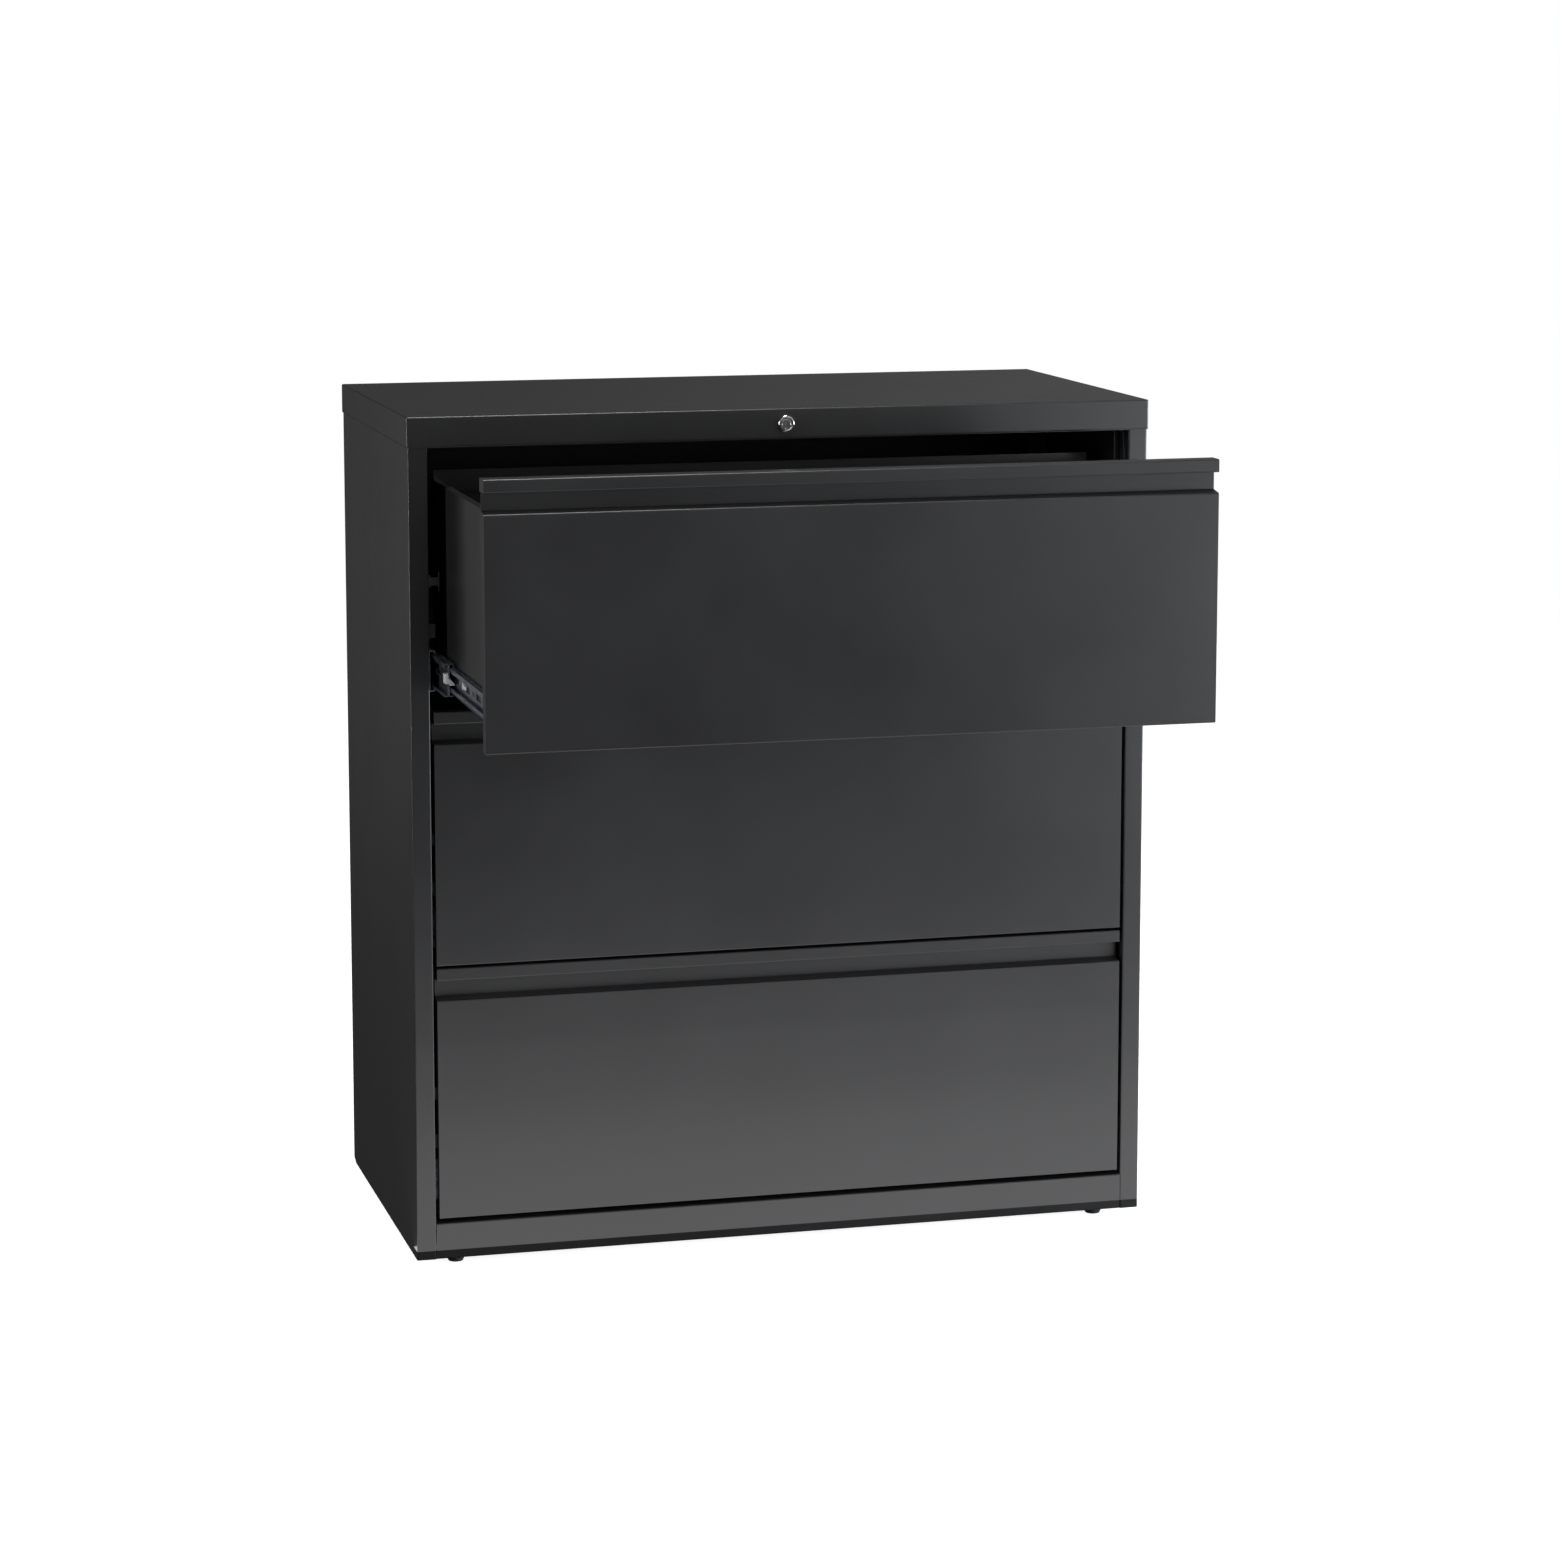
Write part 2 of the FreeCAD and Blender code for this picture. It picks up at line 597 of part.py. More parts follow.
def lock_plug():
    """Turning plug with a stepped keyway."""
    front = -LOCK_BEZEL_PROUD + LOCK_PLUG_DEPTH
    tail = LOCK_BARREL_LENGTH + LOCK_PLUG_TAIL
    end = front + KEYWAY_DEPTH
    width, height = KEYWAY_HALF_WIDTH, KEYWAY_HALF_HEIGHT
    plug = rod(vec(0, front, LOCK_Z), Y_AXIS, LOCK_PLUG_RADIUS, tail - front)
    rim = [edge for edge in plug.Edges if edge.BoundBox.YMax < front + 0.1]
    plug = plug.makeFillet(LOCK_PLUG_ROUNDING, rim)
    blade = block(-width, width, front - 1, end, LOCK_Z - height, LOCK_Z + height)
    ward = block(-WARD_HALF_WIDTH, WARD_HALF_WIDTH, front - 1, end, LOCK_Z + WARD_LOW, LOCK_Z + WARD_HIGH)
    return plug.cut(blade).cut(ward)


def lock_cam():
    """Arm on the plug's tail, with the pin that drives the cross bar and the screw that holds it."""
    near = LOCK_BARREL_LENGTH + LOCK_PLUG_TAIL
    half = CAM_ARM_HALF
    hub = rod(vec(0, near, LOCK_Z), Y_AXIS, CAM_HUB_RADIUS, LINK_THICKNESS)
    arm = block(-half, half, near, near + LINK_THICKNESS, LOCK_Z, LOCK_Z + CAM_RADIUS)
    tip = rod(vec(0, near, LOCK_Z + CAM_RADIUS), Y_AXIS, half, LINK_THICKNESS)
    pin = rod(vec(0, near + 1, LOCK_Z + CAM_RADIUS), Y_AXIS, LINK_PIN_RADIUS, CROSSBAR_Y + 4 - near - 1)
    screw = rod(vec(0, near + LINK_THICKNESS, LOCK_Z), Y_AXIS, CAM_SCREW_RADIUS, CAM_SCREW_HEIGHT)
    cam = hub.fuse(arm).fuse(tip).fuse(pin).fuse(screw).removeSplitter()
    cam.rotate(vec(0, 0, LOCK_Z), Y_AXIS, CAM_START_ANGLE)
    return cam


def lock_crossbar():
    """Flat bar behind the cap's flange, from the lock cam to the bell crank."""
    far = CROSSBAR_Y + LINK_THICKNESS
    end = CRANK_X + CAM_REACH
    centre = CRANK_Z + CRANK_ARM
    low = centre - CROSSBAR_MARGIN
    start = CAM_REACH - CROSSBAR_OVERHANG
    bar = block(start, end + CROSSBAR_MARGIN, CROSSBAR_Y, far, low, centre + CROSSBAR_ABOVE)
    slot_low = LOCK_Z + CAM_REACH - LINK_SLOT_WIDTH / 2
    slot_high = LOCK_Z + CAM_RADIUS + LINK_SLOT_WIDTH / 2
    half_slot = LINK_SLOT_WIDTH / 2
    slot = block(CAM_REACH - half_slot, CAM_REACH + half_slot, CROSSBAR_Y - 1, far + 1, slot_low, slot_high)
    pin_length = CRANK_Y + LINK_THICKNESS - CROSSBAR_Y
    pin = rod(vec(end, CROSSBAR_Y + 1, centre), Y_AXIS, LINK_PIN_RADIUS, pin_length)
    return bar.cut(slot).fuse(pin)


def lock_bellcrank():
    """Two-armed plate that turns the cross bar's travel into lift of the lock bar."""
    near = CRANK_Y
    far = CRANK_Y + LINK_THICKNESS
    reach = CRANK_ARM + CRANK_TIP
    arm_half = CRANK_ARM_HALF
    half = LINK_SLOT_WIDTH / 2
    low = CRANK_ARM - half
    high = CRANK_ARM / math.cos(math.radians(CRANK_TILT)) + half
    crank = rod(vec(CRANK_X, near, CRANK_Z), Y_AXIS, CRANK_HUB_RADIUS, LINK_THICKNESS)
    up = block(CRANK_X - arm_half, CRANK_X + arm_half, near, far, CRANK_Z, CRANK_Z + reach)
    out = block(CRANK_X, CRANK_X + reach, near, far, CRANK_Z - arm_half, CRANK_Z + arm_half)
    up_slot = block(CRANK_X - half, CRANK_X + half, near - 1, near + 4, CRANK_Z + low, CRANK_Z + high)
    out_slot = block(CRANK_X + low, CRANK_X + high, near - 1, near + 4, CRANK_Z - half, CRANK_Z + half)
    bore = rod(vec(CRANK_X, near - 1, CRANK_Z), Y_AXIS, CRANK_BORE_RADIUS, LINK_THICKNESS + 2)
    crank = crank.fuse(up).fuse(out).removeSplitter().cut(up_slot).cut(out_slot).cut(bore)
    crank.rotate(vec(CRANK_X, 0, CRANK_Z), Y_AXIS, CRANK_TILT)
    return crank


def lock_bracket():
    """Angle under the cap with the headed stud on which the bell crank turns."""
    corners = [(BRACKET_Y, CAP_BOTTOM + 1), (BRACKET_Y, SIDE_TOP), (BRACKET_Y + BRACKET_FOOT, SIDE_TOP)]
    outline = side_view(corners, CRANK_X - BRACKET_HALF_WIDTH)
    plate = bent_sheet(outline, -X_AXIS, X_AXIS * (2 * BRACKET_HALF_WIDTH), HEAVY)
    stud_y = CRANK_Y - STUD_HEAD_GAP
    stud = rod(vec(CRANK_X, stud_y, CRANK_Z), Y_AXIS, CRANK_STUD_RADIUS, BRACKET_Y + 0.6 - stud_y)
    head_start = vec(CRANK_X, stud_y - STUD_HEAD_HEIGHT, CRANK_Z)
    head = rod(head_start, Y_AXIS, STUD_HEAD_RADIUS, STUD_HEAD_HEIGHT)
    return plate.fuse(stud).fuse(head)


def stop_tab(centre):
    """T-shaped tab folded inward from the front edge of a vertical bar."""
    near = BAR_Y
    far = BAR_Y + LINK_THICKNESS
    pieces = []
    for start, end, half in (
            (BAR_X - TAB_FOOT_REACH, BAR_X + 1, TAB_FOOT_HALF),
            (TAB_X, BAR_X + 1, TAB_STEM_HALF),
            (TAB_X, TAB_X + TAB_CROSSPIECE, TAB_HALF_HEIGHT)):
        pieces.append(block(start, end, near, far, centre - half, centre + half))
    return pieces[0].fuse(pieces[1:])


def vertical_bar(top, travel):
    """Right-hand vertical flat bar, hemmed at the rear, with a stop tab and a catch for every drawer."""
    inner = BAR_X
    outer = BAR_X + LINK_THICKNESS
    rear = BAR_Y + BAR_DEPTH
    bar = block(inner, outer, BAR_Y, rear, BAR_FOOT_Z, top)
    bar = bar.fuse(block(inner - BAR_LIP, outer, rear - LINK_THICKNESS, rear, BAR_FOOT_Z, top))
    for bottom in front_bottoms():
        low = bottom + CATCH_LOW
        catch = block(CATCH_X, inner + 1, BAR_Y, BAR_Y + LINK_THICKNESS, low, low + CATCH_HEIGHT)
        bar = bar.fuse(stop_tab(bottom + TAB_CENTRE)).fuse(catch)
    near = STUD_Y - STUD_SLOT_HALF_WIDTH
    far = STUD_Y + STUD_SLOT_HALF_WIDTH
    for height in STUD_HEIGHTS:
        low = height - travel - STUD_SLOT_MARGIN
        bar = bar.cut(block(inner - 1, outer + 1, near, far, low, height + STUD_SLOT_MARGIN))
    return bar


def round_wire(points, radius):
    """Bent round wire through points, with rounded joints."""
    wire = Part.makeSphere(radius, points[0])
    for start, end in zip(points, points[1:]):
        way = end - start
        wire = wire.fuse(rod(start, way, radius, way.Length)).fuse(Part.makeSphere(radius, end))
    return wire


def lock_bar():
    """Right-hand bar, lifted by the bell crank through a pin on its top tab, with an anti-rattle wire."""
    pin_x = CRANK_X + CRANK_ARM
    pin_z = CRANK_Z - CAM_REACH
    top = pin_z + PIN_TAB_ABOVE
    bar = vertical_bar(top, 2 * CAM_REACH)
    tab_end = BAR_Y + BAR_DEPTH
    tab_y = tab_end - LINK_THICKNESS
    tab = block(pin_x - PIN_TAB_SIDE, BAR_X + 1, tab_y, tab_end, pin_z - PIN_TAB_BELOW, top)
    pin_y = CRANK_Y - PIN_OVERHANG
    pin = rod(vec(pin_x, pin_y, pin_z), Y_AXIS, LINK_PIN_RADIUS, tab_y + 1 - pin_y)
    wire = round_wire([vec(BAR_X + dx, WIRE_Y, CAP_BOTTOM + dz) for dx, dz in WIRE_BENDS], WIRE_RADIUS)
    return bar.fuse(tab).fuse(pin).fuse(wire)


def interlock_bar():
    """Left-hand bar that a drawer lifts so that only one drawer opens at a time."""
    return mirrored(vertical_bar(INTERLOCK_TOP, INTERLOCK_TRAVEL))


def bar_studs():
    """Shoulder studs from the side panels through the slots of the two vertical bars."""
    outer = SIDE_X - SHEET
    studs = []
    for height in STUD_HEIGHTS:
        stud = rod(vec(outer, STUD_Y, height), -X_AXIS, STUD_RADIUS, outer - BAR_X + 1)
        head_start = vec(BAR_X - STUD_HEAD_GAP, STUD_Y, height)
        head = rod(head_start, -X_AXIS, STUD_HEAD_RADIUS, STUD_HEAD_HEIGHT)
        studs += [stud.fuse(head), mirrored(stud.fuse(head))]
    return Part.makeCompound(studs)


# ---------------------------------------------------------------- drawers
def drawer_front(bottom):
    """Folded front: flat face, full-width finger pull and top lip, with closed ends."""
    half = FRONT_WIDTH / 2
    profile = [
        (FACE_Y + FRONT_RETURN, 0),
        (FACE_Y, 0),
        (FACE_Y, FACE_TOP),
        (WALL_Y, FACE_TOP + LEDGE_RISE),
        (WALL_Y, LIP_BOTTOM),
        (FACE_Y, LIP_BOTTOM),
        (FACE_Y, FRONT_HEIGHT),
        (FACE_Y + LIP_DEPTH, FRONT_HEIGHT),
        (FACE_Y + LIP_DEPTH, FRONT_HEIGHT - LIP_FOLD),
    ]
    raised = [(y, bottom + z) for y, z in profile]
    front = bent_sheet(side_view(raised, -half), -X_AXIS, X_AXIS * (2 * half))
    face_end = raised[0:3] + [(FACE_Y + FRONT_RETURN, raised[3][1])]
    lip_end = [(FACE_Y + LIP_DEPTH, bottom + LIP_BOTTOM)] + raised[5:8]
    for x in (-half, half - SHEET):
        front = front.fuse(filled_outline(side_view(face_end, x), OUTSIDE_BEND, X_AXIS * SHEET))
        front = front.fuse(filled_outline(side_view(lip_end, x), OUTSIDE_BEND, X_AXIS * SHEET))
    return front.removeSplitter()


def drawer_liner(bottom):
    """Inner wall behind the front, folded back onto the drawer's floor."""
    half = TRAY_HALF_WIDTH - OUTSIDE_BEND - FIT_GAP
    low = bottom + TRAY_BASE + SHEET
    outline = side_view([
        (TRAY_Y + LINER_FOLD, low),
        (LINER_Y, low),
        (LINER_Y, bottom + LIP_BOTTOM - LINER_TOP_GAP),
    ], -half)
    return bent_sheet(outline, -X_AXIS, X_AXIS * (2 * half))


def drawer_tray(bottom):
    """Drawer floor and both sides folded from one sheet, with hemmed top edges."""
    half = TRAY_HALF_WIDTH
    low = bottom + TRAY_BASE
    top = bottom + TRAY_SIDE_TOP
    outline = front_view([
        (-half + TRAY_HEM, top),
        (-half, top),
        (-half, low),
        (half, low),
        (half, top),
        (half - TRAY_HEM, top),
    ], TRAY_Y)
    return bent_sheet(outline, -Y_AXIS, Y_AXIS * TRAY_LENGTH)


def drawer_back(bottom):
    """Rear wall of the drawer, folded forward at the top and bottom."""
    half = TRAY_HALF_WIDTH - TRAY_HEM - FIT_GAP
    rear = TRAY_Y + TRAY_LENGTH
    low = bottom + TRAY_BASE + SHEET
    top = bottom + TRAY_SIDE_TOP
    corners = [(rear - BACK_TOP_FOLD, top), (rear, top), (rear, low), (rear - BACK_FOOT_FOLD, low)]
    outline = side_view(corners, -half)
    return bent_sheet(outline, -X_AXIS, X_AXIS * (2 * half))


def drawer_hangrails(bottom):
    """Two strips across the drawer, whose raised ends rest on its side hems."""
    inner_half = TRAY_HALF_WIDTH - TRAY_HEM - FIT_GAP
    full_half = TRAY_HALF_WIDTH - SHEET
    low = bottom + HANGRAIL_LOW
    seat = bottom + TRAY_SIDE_TOP
    top = bottom + HANGRAIL_TOP
    rails = []
    for start in (TRAY_Y + HANGRAIL_SETBACK, TRAY_Y + HANGRAIL_SETBACK + HANGRAIL_SPACING):
        end = start + HANGRAIL_THICKNESS
        lower = block(-inner_half, inner_half, start, end, low, top)
        upper = block(-full_half, full_half, start, end, seat, top)
        rails.append(lower.fuse(upper).removeSplitter())
    return Part.makeCompound(rails)


# ---------------------------------------------------------------- slides
def slide_x(offset):
    """X of a place in the left slide, counted outward from the drawer's side."""
    return -TRAY_HALF_WIDTH - offset


def slide_block(near, far, y0, y1, low, high, centre):
    """Box in the left slide between two offsets from the drawer's side."""
    return block(slide_x(far), slide_x(near), y0, y1, centre + low, centre + high)


def rolled_channel(web, edge, half_height, lip, thickness, run, centre):
    """C-shaped rolled strip: its web's back and its lips' outer faces are at these offsets."""
    start, length = run
    outline = [
        (edge, half_height - lip),
        (edge, half_height),
        (web, half_height),
        (web, -half_height),
        (edge, -half_height),
        (edge, lip - half_height),
    ]
    corners = front_view([(slide_x(offset), centre + z) for offset, z in outline], start)
    normal = Y_AXIS if edge > web else -Y_AXIS
    return bent_sheet(corners, normal, Y_AXIS * length, thickness)


def cabinet_member(bottom):
    """Outer slide member, fixed to the uprights."""
    centre = bottom + SLIDE_CENTRE
    edge = SLIDE_WIDTH - CABINET_MEMBER_DEPTH
    run = (SLIDE_START, SLIDE_LENGTH)
    member = rolled_channel(
        SLIDE_WIDTH, edge, CABINET_MEMBER_HALF, CABINET_MEMBER_LIP, HEAVY, run, centre)
    for y in (FRONT_UPRIGHT_Y + UPRIGHT_DEPTH / 2, REAR_UPRIGHT_Y + UPRIGHT_DEPTH / 2):
        member = member.cut(rod(vec(slide_x(SLIDE_WIDTH + 1), y, centre), X_AXIS, SLIDE_SCREW_RADIUS, 4))
    return pair(member)


def drawer_member(bottom):
    """Inner slide member, fixed to the drawer's side and pierced with slots."""
    centre = bottom + SLIDE_CENTRE
    run = (DRAWER_MEMBER_START, SLIDE_LENGTH)
    member = rolled_channel(
        0, DRAWER_MEMBER_DEPTH, DRAWER_MEMBER_HALF, DRAWER_MEMBER_LIP, HEAVY, run, centre)
    through = HEAVY + 1
    for index in range(SLOT_COUNT):
        y = DRAWER_MEMBER_START + FIRST_SLOT + index * SLOT_PITCH
        slot = slide_block(-1, through, y, y + SLOT_LENGTH, -SLOT_HEIGHT / 2, SLOT_HEIGHT / 2, centre)
        hole_y = y + SLOT_LENGTH + (SLOT_PITCH - SLOT_LENGTH) / 2
        hole = rod(vec(slide_x(through), hole_y, centre), X_AXIS, SLIDE_SCREW_RADIUS, 4)
        member = member.cut(slot).cut(hole)
    return pair(member)


def intermediate_member(bottom):
    """H-shaped middle member: two rolled channels welded back to back."""
    centre = bottom + SLIDE_CENTRE
    start = INTERMEDIATE_START
    run = (start, INTERMEDIATE_LENGTH)
    middle = (INTERMEDIATE_NEAR + INTERMEDIATE_FAR) / 2
    member = None
    for edge in (INTERMEDIATE_NEAR, INTERMEDIATE_FAR):
        channel = rolled_channel(
            middle, edge, INTERMEDIATE_HALF, INTERMEDIATE_LIP, SLIDE_SHEET, run, centre)
        member = channel if member is None else member.fuse(channel)
    for step in range(WINDOW_COUNT):
        y = start + FIRST_WINDOW + step * WINDOW_PITCH
        window = slide_block(
            middle - 2, middle + 2, y, y + WINDOW_LENGTH, -WINDOW_HEIGHT / 2, WINDOW_HEIGHT / 2, centre)
        member = member.cut(window)
    return pair(member.removeSplitter())


def slide_bumper(bottom):
    """Nylon buffer clipped over the front end of the middle member's web."""
    centre = bottom + SLIDE_CENTRE
    middle = (INTERMEDIATE_NEAR + INTERMEDIATE_FAR) / 2
    start = INTERMEDIATE_START
    front = start - BUMPER_NOSE
    end = start + BUMPER_LENGTH
    near_web = middle - SLIDE_SHEET
    far_web = middle + SLIDE_SHEET
    outer_half = slide_block(
        far_web, far_web + BUMPER_THICKNESS, front, end, BUMPER_LOW, BUMPER_HIGH, centre)
    tip = near_web - WEDGE_REACH
    wedge = [(near_web, WEDGE_HIGH), (near_web, WEDGE_LOW), (tip, WEDGE_LOW), (tip, WEDGE_TIP)]
    corners = front_view([(slide_x(offset), centre + z) for offset, z in wedge], front)
    inner_half = Part.Face(Part.makePolygon(corners + corners[:1])).extrude(Y_AXIS * (end - front))
    nose = slide_block(near_web, far_web, front, start, BUMPER_LOW, WEDGE_HIGH, centre)
    return pair(outer_half.fuse(inner_half).fuse(nose).removeSplitter())


def ball_cage(strip_offset, ball_offset, ball_height, radius, run, bottom):
    """Strip with folded tabs that keep two rows of balls apart, with its balls."""
    start, length = run
    centre = bottom + SLIDE_CENTRE
    edge = ball_height + CAGE_SHEET
    tab_near, tab_far = sorted((strip_offset, ball_offset))
    tab_far = max(tab_far, strip_offset + CAGE_SHEET)
    cage = slide_block(strip_offset, strip_offset + CAGE_SHEET, start, start + length, -edge, edge, centre)
    count = int(length / BALL_PITCH)
    first = start + (length - (count - 1) * BALL_PITCH) / 2
    for side in (-1, 1):
        tab = sorted((side * (edge - 2 * CAGE_SHEET), side * edge))
        cage = cage.fuse(slide_block(tab_near, tab_far, start, start + length, tab[0], tab[1], centre))
        for index in range(count):
            place = vec(slide_x(ball_offset), first + index * BALL_PITCH, centre + side * ball_height)
            cage = cage.fuse(Part.makeSphere(radius, place))
    return pair(cage)


def outer_ball_cage(bottom):
    """Cage between the cabinet member and the middle member."""
    height = INTERMEDIATE_HALF + BALL_GAP + OUTER_BALL_RADIUS
    run = (OUTER_CAGE_START, OUTER_CAGE_LENGTH)
    return ball_cage(OUTER_CAGE_OFFSET, OUTER_BALL_OFFSET, height, OUTER_BALL_RADIUS, run, bottom)


def inner_ball_cage(bottom):
    """Cage between the middle member and the drawer member."""
    height = DRAWER_MEMBER_HALF + BALL_GAP + INNER_BALL_RADIUS
    run = (INNER_CAGE_START, INNER_CAGE_LENGTH)
    return ball_cage(INNER_CAGE_OFFSET, INNER_BALL_OFFSET, height, INNER_BALL_RADIUS, run, bottom)


# ---------------------------------------------------------------- assembly
def write_casing():
    """Write the fixed casing."""
    side = left_side_panel()
    uprights = left_uprights()
    write("top_cap", top_cap())
    write("left_side_panel", side)
    write("right_side_panel", mirrored(side))
    write("back_panel", back_panel())
    write("back_panel_screws", back_panel_screws())
    write("front_base_rail", base_rail(FACE_Y, 1, GLIDE_SETBACK))
    write("rear_base_rail", base_rail(REAR_Y - SHEET - FIT_GAP - SHEET, -1, DEPTH - GLIDE_SETBACK))
    write("bottom_panel", bottom_panel())
    write("counterweight", counterweight())
    write("left_slide_uprights", uprights)
    write("right_slide_uprights", mirrored(uprights))


def write_glides():
    """Write the four glides and their nuts."""
    names = ("front_left_glide", "front_right_glide", "rear_left_glide", "rear_right_glide")
    write("glide_nuts", glide_nuts())
    for name, place in zip(names, glide_places()):
        write(name, glide(*place))


def write_lock():
    """Write the lock, its linkage and the interlock."""
    write("lock_housing", lock_housing())
    write("lock_nut", lock_nut())
    write("lock_plug", lock_plug())
    write("lock_cam", lock_cam())
    write("lock_crossbar", lock_crossbar())
    write("lock_bellcrank", lock_bellcrank())
    write("lock_bracket", lock_bracket())
    write("lock_bar", lock_bar())
    write("interlock_bar", interlock_bar())
    write("bar_studs", bar_studs())


def write_drawer(name, bottom, opened):
    """Write one drawer and its pair of slides, standing open by a distance."""
    write(name + "_front", drawer_front(bottom), opened)
    write(name + "_liner", drawer_liner(bottom), opened)
    write(name + "_tray", drawer_tray(bottom), opened)
    write(name + "_back", drawer_back(bottom), opened)
    write(name + "_hangrails", drawer_hangrails(bottom), opened)
    write(name + "_drawer_members", drawer_member(bottom), opened)
    write(name + "_inner_ball_cages", inner_ball_cage(bottom), opened * INNER_CAGE_SHARE)
    write(name + "_intermediate_members", intermediate_member(bottom), opened * INTERMEDIATE_SHARE)
    write(name + "_slide_bumpers", slide_bumper(bottom), opened * INTERMEDIATE_SHARE)
    write(name + "_outer_ball_cages", outer_ball_cage(bottom), opened * OUTER_CAGE_SHARE)
    write(name + "_cabinet_members", cabinet_member(bottom))


def main():
    """Build every piece and write one STEP file per node."""
    os.makedirs("parts", exist_ok=True)
    write_casing()
    write_glides()
    write_lock()
    for name, bottom in zip(DRAWER_NAMES, front_bottoms()):
        write_drawer(name, bottom, TOP_DRAWER_OPEN if name == "top_drawer" else 0.0)


main()
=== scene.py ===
import json
import math

import bpy
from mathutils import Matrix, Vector


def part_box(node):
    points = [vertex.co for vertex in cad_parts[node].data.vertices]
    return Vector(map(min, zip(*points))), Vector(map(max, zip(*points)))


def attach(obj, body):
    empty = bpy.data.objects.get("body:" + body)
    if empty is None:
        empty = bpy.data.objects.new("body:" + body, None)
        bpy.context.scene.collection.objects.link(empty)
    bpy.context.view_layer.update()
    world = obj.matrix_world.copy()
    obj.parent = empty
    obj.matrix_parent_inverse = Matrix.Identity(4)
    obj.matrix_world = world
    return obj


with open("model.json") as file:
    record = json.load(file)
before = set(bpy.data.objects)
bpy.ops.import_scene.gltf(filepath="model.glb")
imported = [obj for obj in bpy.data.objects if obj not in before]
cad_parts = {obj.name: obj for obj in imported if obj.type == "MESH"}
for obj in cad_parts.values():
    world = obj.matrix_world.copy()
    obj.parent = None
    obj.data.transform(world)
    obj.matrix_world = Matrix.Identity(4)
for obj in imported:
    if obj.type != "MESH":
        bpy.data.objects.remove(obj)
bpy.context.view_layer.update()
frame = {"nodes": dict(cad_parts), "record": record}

MM = 0.001

# ---- where the viewer stands, in metres and degrees ----
CAMERA_PLACE = (-1.3035, -4.9565, 1.4834)
CAMERA_TURN = 14.875
CAMERA_TILT = 8.33
CAMERA_LENS = 98.18
CAMERA_SHIFT = -0.09
SENSOR_WIDTH = 36.0
VIEW_DISTANCE = 60.0

# ---- lighting: name, position, target, width and height in metres, radiance, tint ----
NEUTRAL = (1.0, 1.0, 1.0)
COOL = (0.95, 0.98, 1.0)
SOFT_LIGHTS = (
    ("overhead", (0.2, -0.9, 5.0), (0.2, -0.6, 0.0), (1.4, 1.4), 20.0, NEUTRAL),
    ("front_high", (0.6, -5.2, 2.4), (0.0, -0.2, 0.6), (4.0, 2.4), 0.7, NEUTRAL),
    ("left_panel", (-2.9, -0.9, 1.1), (-0.45, 0.0, 0.5), (0.2, 2.0), 27.0, NEUTRAL),
    ("left_back", (-2.4, 3.0, 0.9), (-0.45, 0.2, 0.5), (1.6, 2.0), 0.44, NEUTRAL),
    ("right_panel", (2.9, -1.6, 0.6), (0.3, 0.0, 0.5), (1.6, 1.1), 9.0, COOL),
    ("right_front", (2.4, -2.9, 0.55), (0.2, -0.1, 0.5), (1.2, 1.1), 6.0, COOL),
    ("right_edge", (3.4, 0.6, 1.0), (0.4, 0.0, 0.5), (0.6, 2.0), 12.0, NEUTRAL),
    ("low_back", (0.6, 1.5, 0.02), (0.6, 1.5, 2.0), (2.0, 1.6), 2.0, NEUTRAL),
    ("low_near", (0.4, -0.35, 0.02), (0.4, -0.35, 2.0), (2.4, 0.6), 0.65, NEUTRAL),
    ("low_front", (0.6, -0.8, 0.02), (0.6, -0.8, 2.0), (2.8, 1.5), 0.7, NEUTRAL),
)
FLOOR_SIZE = 9.0
# surround: axis of the direction, brightness at the start and end, where it starts and ends
SURROUND_SLOPES = (
    ("X", 0.0, 0.11, 0.0, 0.8),
    ("X", 0.0, 0.15, 0.2, 0.6),
    ("Y", 0.0, 0.042, 0.0, 1.0),
)

# vertical bars whose zinc is darkened with painted shade for the shadow inside the cabinet
SHADE_PAINTED_NODES = ("lock_bar", "interlock_bar")

# ---- release levers of the slides, in metres; their outline in millimetres, along and up ----
LATCH_FROM_EDGE = 0.0068
LATCH_ALONG = 0.192
LATCH_RISE = 0.002
LATCH_EDGE = 0.0006
LATCH_TOP_SHARE = 0.86
LATCH_OUTLINE = (
    (-11.0, -2.2), (2.5, -2.2), (4.5, -4.4), (10.0, -4.4), (11.0, -3.4),
    (11.0, 3.4), (10.0, 4.4), (4.5, 4.4), (2.5, 2.2), (-11.0, 2.2),
)


# ---------------------------------------------------------------- node helpers
def new_material(name):
    """An empty node material with a Principled shader, and the calls to add to it."""
    material = bpy.data.materials.new(name)
    material.use_nodes = True
    tree = material.node_tree
    shader = tree.nodes["Principled BSDF"]
    return material, tree, shader


def add(tree, kind, **values):
    """A node with its settings and unlinked inputs filled in."""
    node = tree.nodes.new(kind)
    for key, value in values.items():
        if hasattr(node, key):
            setattr(node, key, value)
        else:
            node.inputs[key.replace("_", " ")].default_value = value
    return node


def place(tree, stretch=(1, 1, 1)):
    """Coordinates in metres that travel with the piece, stretched along each axis."""
    coordinates = add(tree, "ShaderNodeTexCoord")
    mapping = add(tree, "ShaderNodeMapping")
    mapping.inputs["Scale"].default_value = stretch
    tree.links.new(coordinates.outputs["Object"], mapping.inputs["Vector"])
    return mapping.outputs["Vector"]


def noise(tree, where, per_metre, detail=3.0, roughness=0.55):
    """Grey noise with this many features per metre."""
    node = add(tree, "ShaderNodeTexNoise", Scale=per_metre, Detail=detail, Roughness=roughness)
    tree.links.new(where, node.inputs["Vector"])
    return node.outputs["Fac"]


